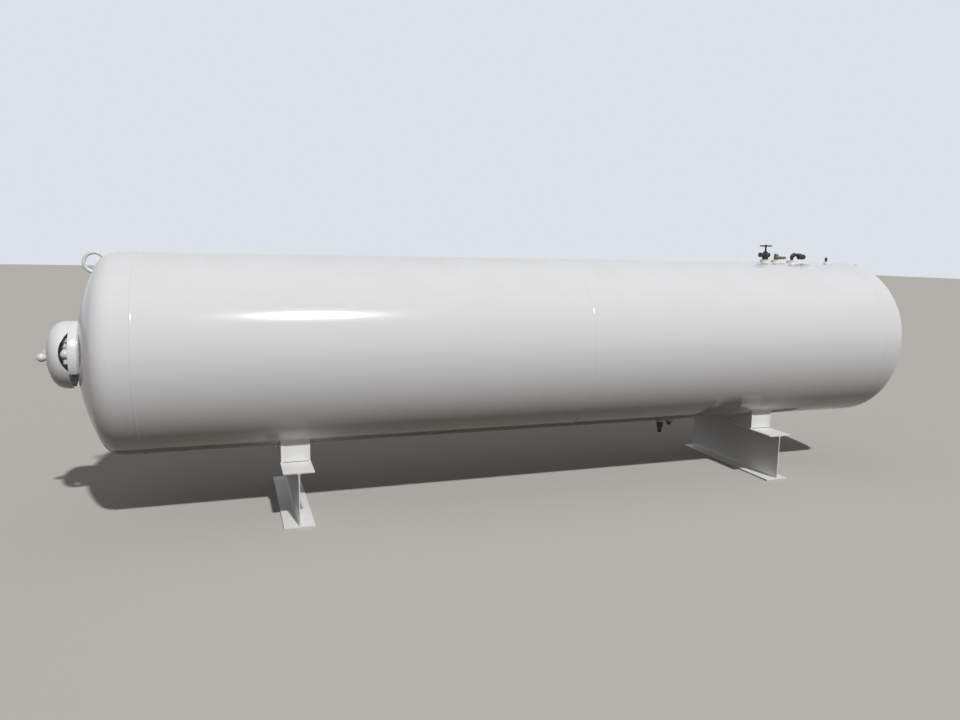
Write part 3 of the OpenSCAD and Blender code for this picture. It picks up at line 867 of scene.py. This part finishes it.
class TANK_OT_fittings_hood(bpy.types.Operator):
    """Presses the hood and cuts its two windows, its notch and the stud's hole"""

    bl_idname = "tank.fittings_hood"
    bl_label = "Fittings hood"

    def execute(self, context):
        h = hood_sizes()
        rim, top = HOOD_HIGH.x, HOOD_LOW.x
        skirt = (rim - top) - dish_depth(HOOD_R, h.crown, h.knuckle)
        outer = [(HOOD_R, 0)] + dish(HOOD_R, h.crown, h.knuckle, skirt, 12, 14)
        inside = [r - h.wall for r in (HOOD_R, h.crown, h.knuckle)]
        inner = [(inside[0], 0)] + dish(*inside, skirt, 10, 12)
        profile = [(r, rim - d) for r, d in outer[::-1] + inner]
        hood = turn("pressed_hood", profile, TANK_AXIS, X_AXIS, 160, unit=1)
        window_at = (rim + h.window_back, 0, AXIS_Z + h.window_up)
        past = HOOD_R * 1.1
        carve(hood, rod("window_form", h.window, -past, past, window_at, Y_AXIS, 128))
        # The notch clears the outlet pipe's leg and runs out through the rim: every form that cuts is
        # longer than the wall is thick
        low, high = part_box("outlet_elbow")
        leg_r = (high.y - low.y) / 2
        leg_x, notch_r = low.x + leg_r, leg_r + h.notch_gap
        below, above = AXIS_Z - 1.5 * HOOD_R, AXIS_Z - HOOD_R / 2
        carve(hood, rod("notch_form", notch_r, 0, HOOD_R, (leg_x, 0, below), Z_AXIS, 64))
        corners = [(leg_x, -notch_r, below), (leg_x, notch_r, below),
                   (leg_x, notch_r, above), (leg_x, -notch_r, above)]
        carve(hood, plate("throat_form", corners, (rim - leg_x + 20 * MM, 0, 0)))
        stud_at = (top + 30 * MM, 0, middle_of("hood_stud").z)
        carve(hood, rod("stud_form", h.stud + 0.3 * MM, 0, 60 * MM, stud_at, -X_AXIS, 32))
        soften(hood, 1.2, angle=50)
        hand_over(hood, "hood", "fittings_hood")
        return {"FINISHED"}


class TANK_OT_hood_fastening(bpy.types.Operator):
    """Makes the stud, the ball knob and the lock lug of the hood"""

    bl_idname = "tank.hood_fastening"
    bl_label = "Hood fastening"

    def execute(self, context):
        self.stud()
        self.knob()
        self.lug()
        return {"FINISHED"}

    def stud(self):
        low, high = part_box("hood_stud")
        h = hood_sizes()
        boss, slim, step, reach = in_mm((high.y - low.y) / 2, h.stud, h.stud_boss, CROWN_X - low.x)
        profile = [(boss, -2), (boss, step - 4), (boss - 4, step), (slim, step)]
        profile += thread(slim, 0.9, 60, reach - 2, 2) + [(slim - 2, reach)]
        stud = turn("threaded_stud", profile, (CROWN_X, 0, (low.z + high.z) / 2), -X_AXIS, 40)
        hand_over(stud, "fitting", "hood_stud")

    def knob(self):
        """A ball on a short neck, bored for the stud."""
        low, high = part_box("hood_knob")
        middle = low.x + (high.y - low.y) / 2
        ball, base, bore = in_mm(middle - low.x, high.x - middle, hood_sizes().stud + 0.3 * MM)
        neck = 13
        waist = neck * 0.92
        profile = [(bore, -ball * 0.6), (bore, -base), (neck, -base), (neck + 1, 1 - base),
                   (neck + 1, 3 - base), (waist, 4.5 - base)]
        profile += arc((0, 0), ball, math.asin(waist / ball) - QUARTER, QUARTER, 26)[:-1] + [(0, ball)]
        knob = turn("ball_knob", profile, (middle, 0, (low.z + high.z) / 2), -X_AXIS)
        hand_over(knob, "hood", "hood_knob")

    def lug(self):
        """A small plate with a round end and a hole for a lock."""
        low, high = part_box("lock_lug")
        half, z = (high.z - low.z) / 2, (high.z + low.z) / 2
        tip = low.x + half
        outline = [(high.x, z - half), (high.x, z + half)] + arc((tip, z), half, QUARTER, 3 * QUARTER, 12)
        lug = plate("lock_plate", [(a, low.y, b) for a, b in outline], (0, high.y - low.y, 0))
        carve(lug, rod("lock_hole", 4 * MM, -5 * MM, 10 * MM, (tip + 0.5 * MM, low.y, z), Y_AXIS, 24))
        soften(lug, 0.6, angle=50)
        hand_over(lug, "hood", "lock_lug")


# Fittings behind the hood


def end_coupling(name, node):
    """A half coupling welded to the head: a thick ring of pipe with a turned face."""
    low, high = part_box(node)
    centre = (low + high) / 2
    radius, reach = in_mm((high.y - low.y) / 2, high.x - low.x)
    profile = [(radius - 2, 0), (radius, 2), (radius, reach)]
    coupling = turn(name, profile, (low.x, centre.y, centre.z), X_AXIS)
    foot = (head_face(math.hypot(centre.y, centre.z - AXIS_Z)), centre.y, centre.z)
    path = ring_path(name + "_path", foot, X_AXIS, radius * MM, steel().ripple)
    weld = bead(lay_on(path, bpy.data.objects["dished_head_left"]), steel().fine_fillet)
    hand_over(join(name, [coupling, weld]), "fitting", node)


def end_valve(name, node):
    """An angle valve: round body, hexagon neck, bonnet and screwed cap above, outlet below."""
    low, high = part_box(node)
    y, half = (low.y + high.y) / 2, (high.y - low.y) / 2
    centre = Vector((low.x + half, y, high.z - 90 * MM))
    body, = in_mm(half)
    ball = [(0, -body)] + arc((0, 0), body, -QUARTER, QUARTER, 20)[1:-1] + [(0, body)]
    stem = [(12, 0)] + thread(12, 0.8, body, 60, 2.2) + [(0, 61)]
    cap = [(16.5, 62), (18, 63.5), (18, 82), (17, 84), (15, 88.5), (11, 90)]
    spout = [(12, 0)] + thread(12, 0.8, 30, 48, 2.2) + [(11, 50), (8, 50), (8, 20)]
    parts = [
        turn("ball", ball, centre, Z_AXIS),
        hexagon("neck", (high.x - 9 * MM, y, centre.z), X_AXIS, 36, 18),
        turn("bonnet", stem, centre, Z_AXIS, 32),
        hexagon("packing_nut", centre + UP * 40, Z_AXIS, 30, 10),
        turn("cap", cap, centre, Z_AXIS, 40),
        turn("spout", spout, centre, -Z_AXIS, 32),
    ]
    hand_over(join(name, parts), "fitting", node)


class TANK_OT_end_fittings(bpy.types.Operator):
    """Makes the couplings, angle valves and outlet elbow behind the hood"""

    bl_idname = "tank.end_fittings"
    bl_label = "End fittings"

    def execute(self, context):
        for place in ("front", "back"):
            end_coupling(f"half_coupling_{place}", f"end_coupling_{place}")
            end_valve(f"angle_valve_{place}", f"end_valve_{place}")
        end_coupling("half_coupling_outlet", "outlet_coupling")
        self.elbow()
        return {"FINISHED"}

    def elbow(self):
        """Spins the pipe's ring a quarter round, then extrudes its end down."""
        low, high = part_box("outlet_elbow")
        outer = (high.y - low.y) / 2
        bend = high.x - (low.x + outer)
        pipe_z = middle_of("outlet_coupling").z
        centre = Vector((high.x, 0, pipe_z - bend))
        place = {"location": (high.x, 0, pipe_z), "rotation": (0, QUARTER, 0)}
        rings = [settle(primitive("ring", "circle", vertices=40, radius=radius, **place))
                 for radius in (outer, outer - hood_sizes().outlet_wall)]
        pipe = join("outlet_pipe", rings)
        edit(pipe)
        bpy.ops.mesh.bridge_edge_loops()
        bpy.ops.mesh.select_all(action="SELECT")
        bpy.ops.mesh.spin(steps=16, angle=QUARTER, center=centre, axis=(0, 1, 0))
        bpy.ops.mesh.extrude_region_move(TRANSFORM_OT_translate={"value": (0, 0, low.z - centre.z)})
        close_up()
        soften(pipe, 0.8, angle=60)
        hand_over(pipe, "fitting", "outlet_elbow")


# Fittings on the crown


def crown_coupling(name, node, plug=False):
    """A half coupling on the shell, its top edge turned off, with its weld and perhaps a sunk plug."""
    low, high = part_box(node)
    centre = (low + high) / 2
    radius, depth = in_mm((high.x - low.x) / 2, high.z - low.z)
    upward = 1 if high.z > AXIS_Z else -1
    face = high.z if upward > 0 else low.z
    profile = [(radius - 3, 0), (radius, 3), (radius, depth)]
    if plug:
        profile = [(0, 2.5), (radius * 0.5, 2.5), (radius * 0.5, 0.6), (radius * 0.56, 0)] + profile
    coupling = turn(name, profile, (centre.x, centre.y, face), -upward * Z_AXIS, 56)
    foot_z = AXIS_Z + upward * math.sqrt(TANK_R ** 2 - centre.y ** 2)
    shell = "shell_plate_left" if centre.x < SEAM_X["middle"] else "shell_plate_right"
    path = ring_path(name + "_path", (centre.x, centre.y, foot_z), Z_AXIS, radius * MM, steel().ripple)
    weld = bead(lay_on(path, bpy.data.objects[shell]), steel().fine_fillet * 1.2)
    hand_over(join(name, [coupling, weld]), "fitting", node)


def foot_of(fitting, coupling):
    """The point that a fitting stands on: on its coupling's axis, at its own lowest level."""
    foot = middle_of(coupling)
    foot.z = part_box(fitting)[0].z
    return foot


class TANK_OT_couplings(bpy.types.Operator):
    """Welds the half couplings on and under the shell"""

    bl_idname = "tank.couplings"
    bl_label = "Couplings"

    def execute(self, context):
        for place in ("service", "brass", "relief", "vent", "drain", "drain_plug"):
            crown_coupling(f"half_coupling_{place}", f"{place}_coupling")
        crown_coupling("half_coupling_spare", "spare_coupling", plug=True)
        return {"FINISHED"}


class TANK_OT_service_valve(bpy.types.Operator):
    """Makes the dark valve on the crown, with its capped port, round boss, stem and handwheel"""

    bl_idname = "tank.service_valve"
    bl_label = "Service valve"

    def execute(self, context):
        low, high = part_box("service_valve")
        foot = foot_of("service_valve", "service_coupling")
        radius, height = in_mm((high.y - low.y) / 2, high.z - low.z)
        port_reach, boss_reach = in_mm(foot.x - low.x, high.x - foot.x)
        # The stem takes up the upper 54 mm, and the port leaves at two thirds of the rest
        body = height - 54
        port = foot + UP * body * 0.66
        barrel = [(18, 8), (18, 12), (radius * 0.98, 17), (radius, body * 0.5), (radius * 0.97, body - 11),
                  (radius * 0.75, body - 5), (radius * 0.75, body)]
        gland = [(11, body), (11, body + 8), (9, body + 10)]
        stem = [(6, body)] + thread(6, 0.6, body + 12, height - 14, 2.2)
        stem += [(6, height - 12), (6, height - 1), (5, height)]
        arm = [(14, 0), (12, 22), (11, 28), (11, port_reach - 14)]
        boss = [(16, 0), (16, boss_reach - 7), (14.5, boss_reach - 5), (14.5, boss_reach - 2),
                (12, boss_reach)]
        parts = [
            hexagon("foot_hexagon", foot + UP * 5, Z_AXIS, 38, 10),
            turn("barrel", barrel, foot, Z_AXIS),
            hexagon("bonnet", foot + UP * (body - 2), Z_AXIS, 32, 8),
            turn("gland", gland, foot, Z_AXIS, 32),
            turn("stem", stem, foot, Z_AXIS, 24),
            turn("arm", arm, port, -X_AXIS, 32),
            hexagon("port_cap", port - ALONG * (port_reach - 8), X_AXIS, 28, 16),
            turn("boss", boss, port, X_AXIS, 40),
        ]
        hand_over(join("dark_valve", parts), "iron", "service_valve")
        self.handwheel()
        return {"FINISHED"}

    def handwheel(self):
        """A cast wheel: waved rim, dished spokes and a hub under a nut."""
        low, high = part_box("service_handwheel")
        centre = (low + high) / 2
        rim = (high.z - low.z) / 2
        radius = (high.x - low.x) / 2 - rim
        wheel = settle(primitive(
            "rim", "torus", location=centre, major_radius=radius, minor_radius=rim, major_segments=96,
            minor_segments=16))
        edit(wheel)
        lobes = 8

        def between_lobes(v):
            bearing = math.atan2(v.co.y - centre.y, v.co.x - centre.x) * lobes / math.tau
            away = math.hypot(v.co.y - centre.y, v.co.x - centre.x)
            return abs(bearing - round(bearing)) < 0.2 and away > radius

        choose(wheel, between_lobes)
        bpy.ops.transform.shrink_fatten(value=-1.2 * MM)
        finish_with(wheel, "SMOOTH", factor=0.5, iterations=3)
        spokes = [self.spoke(centre, radius, rim, QUARTER * i) for i in range(4)]
        half, = in_mm(rim)
        hub = [(6.3, -half * 1.2), (11, -half * 1.2), (12, -half * 0.9), (12, half * 0.7), (10, half),
               (6.3, half)]
        parts = [wheel, *spokes, turn("hub", hub, centre, Z_AXIS, 40, closed=True)]
        hand_over(join("cast_handwheel", parts), "iron", "service_handwheel")

    def spoke(self, centre, radius, rim, bearing):
        """One tapered spoke, from a cube whose outer end is narrowed."""
        hub = 9 * MM
        spoke = primitive("spoke", "cube", size=1)
        spoke.scale = (radius - hub, 8 * MM, rim)
        spoke.location = ((radius + hub) / 2, 0, 0)
        edit(settle(spoke))
        choose(spoke, lambda v: v.co.x > radius / 2)
        bpy.ops.transform.resize(value=(1, 0.7, 0.8), center_override=(radius, 0, 0))
        soften(spoke, 1.2)
        spoke.rotation_euler = (0, 0, bearing)
        spoke.location = centre
        return settle(spoke)


class TANK_OT_brass_valve(bpy.types.Operator):
    """Makes the short brass valve and the slim outlet that runs from it along the tank"""

    bl_idname = "tank.brass_valve"
    bl_label = "Brass valve"

    def execute(self, context):
        low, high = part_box("brass_valve")
        foot = foot_of("brass_valve", "brass_coupling")
        radius, height, reach = in_mm((high.y - low.y) / 2, high.z - low.z, high.x - foot.x)
        outlet = foot + UP * 15
        body = [(12, 7), (12, 9), (radius * 0.95, 12), (radius, 16), (radius * 0.97, 24), (radius * 0.72, 29),
                (radius * 0.72, height - 10)]
        cap = [(13, height - 6), (11, height - 1.5), (6, height)]
        arm = [(10.5, 0), (9.5, 20), (8.5, 30), (8.5, 44)] + thread(9.5, 0.8, 46, reach - 3, 2.2)
        arm += [(8, reach), (5.5, reach), (5.5, reach - 12)]
        parts = [
            hexagon("foot_hexagon", foot + UP * 4, Z_AXIS, 29, 8),
            turn("body", body, foot, Z_AXIS, 40),
            hexagon("cap_nut", foot + UP * (height - 9), Z_AXIS, 29, 8),
            turn("cap", cap, foot, Z_AXIS, 40),
            turn("arm", arm, outlet, X_AXIS, 32),
            hexagon("arm_nut", outlet + ALONG * 36, X_AXIS, 19, 12),
        ]
        hand_over(join("forged_brass_valve", parts), "brass", "brass_valve")
        return {"FINISHED"}


class TANK_OT_relief_valve(bpy.types.Operator):
    """Makes the black relief valve, the bent pipe that carries it, and the vent plug"""

    bl_idname = "tank.relief_valve"
    bl_label = "Relief valve"

    def execute(self, context):
        low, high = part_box("relief_valve")
        foot = foot_of("relief_valve", "relief_coupling")
        r, reach = in_mm((high.y - low.y) / 2, high.x - foot.x)
        arm_rise, body_rise, end = 38, 25, 54
        self.pipe(foot, arm_rise, reach - end)
        shape = [(r * 0.8, 0), (r, 4), (r, 12), (r * 0.93, 14), (r * 0.93, 17), (r, 19), (r, end - 16),
                 (r * 0.95, end - 14), (r * 0.95, end - 5), (r * 0.84, end - 1), (r * 0.8, end)]
        body = turn("relief_body", shape, foot + ALONG * (reach - end) + UP * body_rise, X_AXIS)
        hand_over(body, "rubber", "relief_valve")
        self.vent()
        return {"FINISHED"}

    def pipe(self, foot, rise, near):
        """A nipple, a banded elbow and a cross arm that enters the relief body."""
        bend, pipe = 14, 11.5
        bend_foot = foot + UP * (rise - bend)
        elbow = primitive(
            "elbow", "circle", vertices=32, radius=pipe * MM, fill_type="NGON", location=bend_foot)
        edit(elbow)
        bpy.ops.mesh.spin(steps=10, angle=-QUARTER, center=bend_foot + ALONG * bend, axis=(0, 1, 0))
        close_up()
        nipple = [(10.5, 0)] + thread(10.5, 0.8, 1, 9, 2.2) + [(10.5, 10), (10.5, rise - bend)]
        collar = [(13.5, -4), (14.5, -3), (14.5, 3), (13.5, 4)]
        arm = [(11, 0), (11, near - bend + 20)]
        parts = [
            settle(elbow),
            turn("nipple", nipple, foot, Z_AXIS, 32),
            turn("lower_band", collar, bend_foot - UP * 2, Z_AXIS, 40),
            turn("upper_band", collar, foot + ALONG * (bend + 2) + UP * rise, X_AXIS, 40),
            turn("arm", arm, foot + ALONG * bend + UP * rise, X_AXIS, 32),
        ]
        hand_over(join("relief_pipe", parts), "iron", slot="black_cap")

    def vent(self):
        low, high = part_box("vent_plug")
        r, height = in_mm((high.x - low.x) / 2, high.z - low.z)
        foot = foot_of("vent_plug", "vent_plug")
        stem = [(r * 0.7, 0)] + thread(r * 0.72, 0.7, 1, 8, 1.8)
        stem += [(r, 10), (r, height - 8), (r * 0.85, height - 4), (r * 0.5, height)]
        parts = [
            turn("stem", stem, foot, Z_AXIS, 32),
            hexagon("flats", foot + UP * 13, Z_AXIS, 2 * r * 0.865, 8),
        ]
        hand_over(join("vent_fitting", parts), "rubber", "vent_plug")


# Fittings under the shell


class TANK_OT_drains(bpy.types.Operator):
    """Makes the drain valve with its open nipple, and the square-headed drain plug"""

    bl_idname = "tank.drains"
    bl_label = "Drains"

    def execute(self, context):
        self.valve()
        self.plug()
        return {"FINISHED"}

    def valve(self):
        low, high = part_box("drain_valve")
        r, total = in_mm((high.x - low.x) / 2, high.z - low.z)
        middle = (low + high) / 2
        top = Vector((middle.x, middle.y, high.z))
        body, bore, nipple = 40, 9.5, 13.5
        barrel = [(r * 0.8, 4), (r * 0.8, 12), (r * 0.98, 17), (r, 21), (r * 0.98, 25), (r * 0.8, 30),
                  (r * 0.8, 33)]
        pipe = [(bore, body), (bore, total), (nipple - 1.5, total)]
        pipe += thread(nipple, 0.9, total - 16, total - 1.5, 2.2)[::-1]
        pipe += [(nipple, total - 18), (nipple, body - 4)]
        parts = [
            hexagon("upper_hexagon", top - UP * 6, Z_AXIS, 2 * r * 0.865, 12),
            turn("barrel", barrel, top, -Z_AXIS),
            hexagon("lower_hexagon", top - UP * (body - 6), Z_AXIS, 2 * r * 0.8, 12),
            turn("nipple", pipe, top, -Z_AXIS, 40),
        ]
        hand_over(join("drain_cock", parts), "iron", "drain_valve")

    def plug(self):
        """A round head and the square below it, whose lower corners are turned off."""
        low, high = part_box("drain_plug")
        middle = (low + high) / 2
        r, = in_mm((high.x - low.x) / 2)
        head = [(r - 2, 0), (r, 2), (r, 7), (r * 0.7, 10)]
        parts = [turn("plug_head", head, (middle.x, middle.y, high.z), -Z_AXIS)]
        side, square_top = 20 * MM, high.z - 9 * MM
        square = primitive(
            "square", "cube", size=1, location=(middle.x, middle.y, (square_top + low.z) / 2))
        square.scale = (side, side, square_top - low.z)
        edit(settle(square))
        choose(square, lambda f: f.normal.z < -0.9, "faces")
        bpy.ops.mesh.inset(thickness=2.5 * MM)
        choose(square, lambda v: v.co.z < low.z + MM / 2 and
               max(abs(v.co.x - middle.x), abs(v.co.y - middle.y)) > side / 2 - MM)
        bpy.ops.transform.translate(value=(0, 0, 1.5 * MM))
        parts.append(soften(square, 0.8, angle=50))
        hand_over(join("square_head_plug", parts), "iron", "drain_plug")


# Studio


class TANK_OT_studio(bpy.types.Operator):
    """Sets the floor, the light and the camera"""

    bl_idname = "tank.studio"
    bl_label = "Studio"

    def execute(self, context):
        settings = context.scene.studio
        self.floor(settings)
        self.key_light(settings)
        self.surroundings(context, settings)
        self.camera(context, settings)
        context.scene.view_settings.view_transform = "Standard"
        return {"FINISHED"}

    def floor(self, settings):
        floor = primitive("studio_floor", "plane", size=2 * settings.floor_reach)
        material, tree, shader, _ = new_material("matt_floor", 0.95)
        tinted = blend_colours(tree, self.seen(tree), paints().floor_bounce, paints().floor)
        wire(tree, shader, {"Specular IOR Level": 0.0, "Base Color": tinted})
        floor.data.materials.append(material)

    def seen(self, tree):
        """1 for what the camera, gloss and glass see, and 0 for light on its way to the object."""
        path = add_node(tree, "LightPath", (-900, 400)).outputs
        direct = math_of(tree, "MAXIMUM", path["Is Camera Ray"], path["Is Glossy Ray"], (-600, 400))
        return math_of(tree, "MAXIMUM", direct, path["Is Transmission Ray"], (-300, 400))

    def key_light(self, settings):
        start()
        bpy.ops.object.light_add(type="SUN", location=(1.5, -4.5, 7))
        lamp = bpy.context.object
        lamp.name = "key_light"
        lamp.data.energy = settings.key_energy
        lamp.data.angle = settings.key_angle
        lamp.rotation_euler = Vector(settings.key_travel).to_track_quat("-Z", "Y").to_euler()

    def surroundings(self, context, settings):
        """White light from all round, and the backdrop's colour where the camera and gloss see it."""
        world = bpy.data.worlds.new("studio_world")
        context.scene.world = world
        world.use_nodes = True
        tree = world.node_tree
        tree.nodes.clear()
        light = add_node(tree, "Background", (0, 0), {"Color": (1, 1, 1, 1), "Strength": settings.fill})
        backdrop = add_node(tree, "Background", (0, -200), {"Color": paints().backdrop, "Strength": 1.0})
        mixed = add_node(tree, "MixShader", (300, 0), {
            0: self.seen(tree), 1: light.outputs[0], 2: backdrop.outputs[0]})
        add_node(tree, "OutputWorld", (600, 0), {"Surface": mixed.outputs[0]})

    def camera(self, context, settings):
        yaw, pitch, roll = settings.yaw, settings.pitch, settings.roll
        forward = Vector((math.sin(yaw) * math.cos(pitch), math.cos(yaw) * math.cos(pitch), math.sin(pitch)))
        level = Vector((math.cos(yaw), -math.sin(yaw), 0))
        upright = level.cross(forward)
        right = level * math.cos(roll) + upright * math.sin(roll)
        top = upright * math.cos(roll) - level * math.sin(roll)
        start()
        bpy.ops.object.camera_add()
        camera = bpy.context.object
        camera.name = "photo_camera"
        camera.data.lens = settings.lens
        camera.data.sensor_width = 36
        turned = Matrix((right, top, -forward)).transposed().to_4x4()
        camera.matrix_world = Matrix.Translation(Vector(settings.camera_place)) @ turned
        context.scene.camera = camera


class TANK_PT_panel(bpy.types.Panel):
    """Lists what the tank is made from, in the order of making"""

    bl_label = "Pressure tank"
    bl_idname = "TANK_PT_panel"
    bl_space_type = "VIEW_3D"
    bl_region_type = "UI"
    bl_category = "Tank"

    def draw(self, context):
        for group in (getattr(context.scene, name) for name in GROUPS):
            box = self.layout.box()
            for name in group.__annotations__:
                box.prop(group, name)
        for operator in OPERATORS:
            self.layout.operator(operator.bl_idname)


OPERATORS = (
    TANK_OT_shell, TANK_OT_heads, TANK_OT_girth_welds, TANK_OT_lifting_rings, TANK_OT_cross_beams,
    TANK_OT_saddles, TANK_OT_hood_collar, TANK_OT_fittings_hood, TANK_OT_hood_fastening, TANK_OT_end_fittings,
    TANK_OT_couplings, TANK_OT_service_valve, TANK_OT_brass_valve, TANK_OT_relief_valve, TANK_OT_drains,
    TANK_OT_studio,
)
GROUPS = {"tank_sizes": TankSizes, "hood_sizes": HoodSizes, "tank_paints": Paints, "studio": StudioSettings}


def register():
    for kind in (*GROUPS.values(), *OPERATORS, TANK_PT_panel):
        bpy.utils.register_class(kind)
    for name, group in GROUPS.items():
        setattr(bpy.types.Scene, name, PointerProperty(type=group))


def unregister():
    for name in GROUPS:
        delattr(bpy.types.Scene, name)
    for kind in reversed((*GROUPS.values(), *OPERATORS, TANK_PT_panel)):
        bpy.utils.unregister_class(kind)


def main():
    register()
    for operator in OPERATORS:
        group, name = operator.bl_idname.split(".")
        getattr(getattr(bpy.ops, group), name)()


if __name__ == "__main__":
    main()
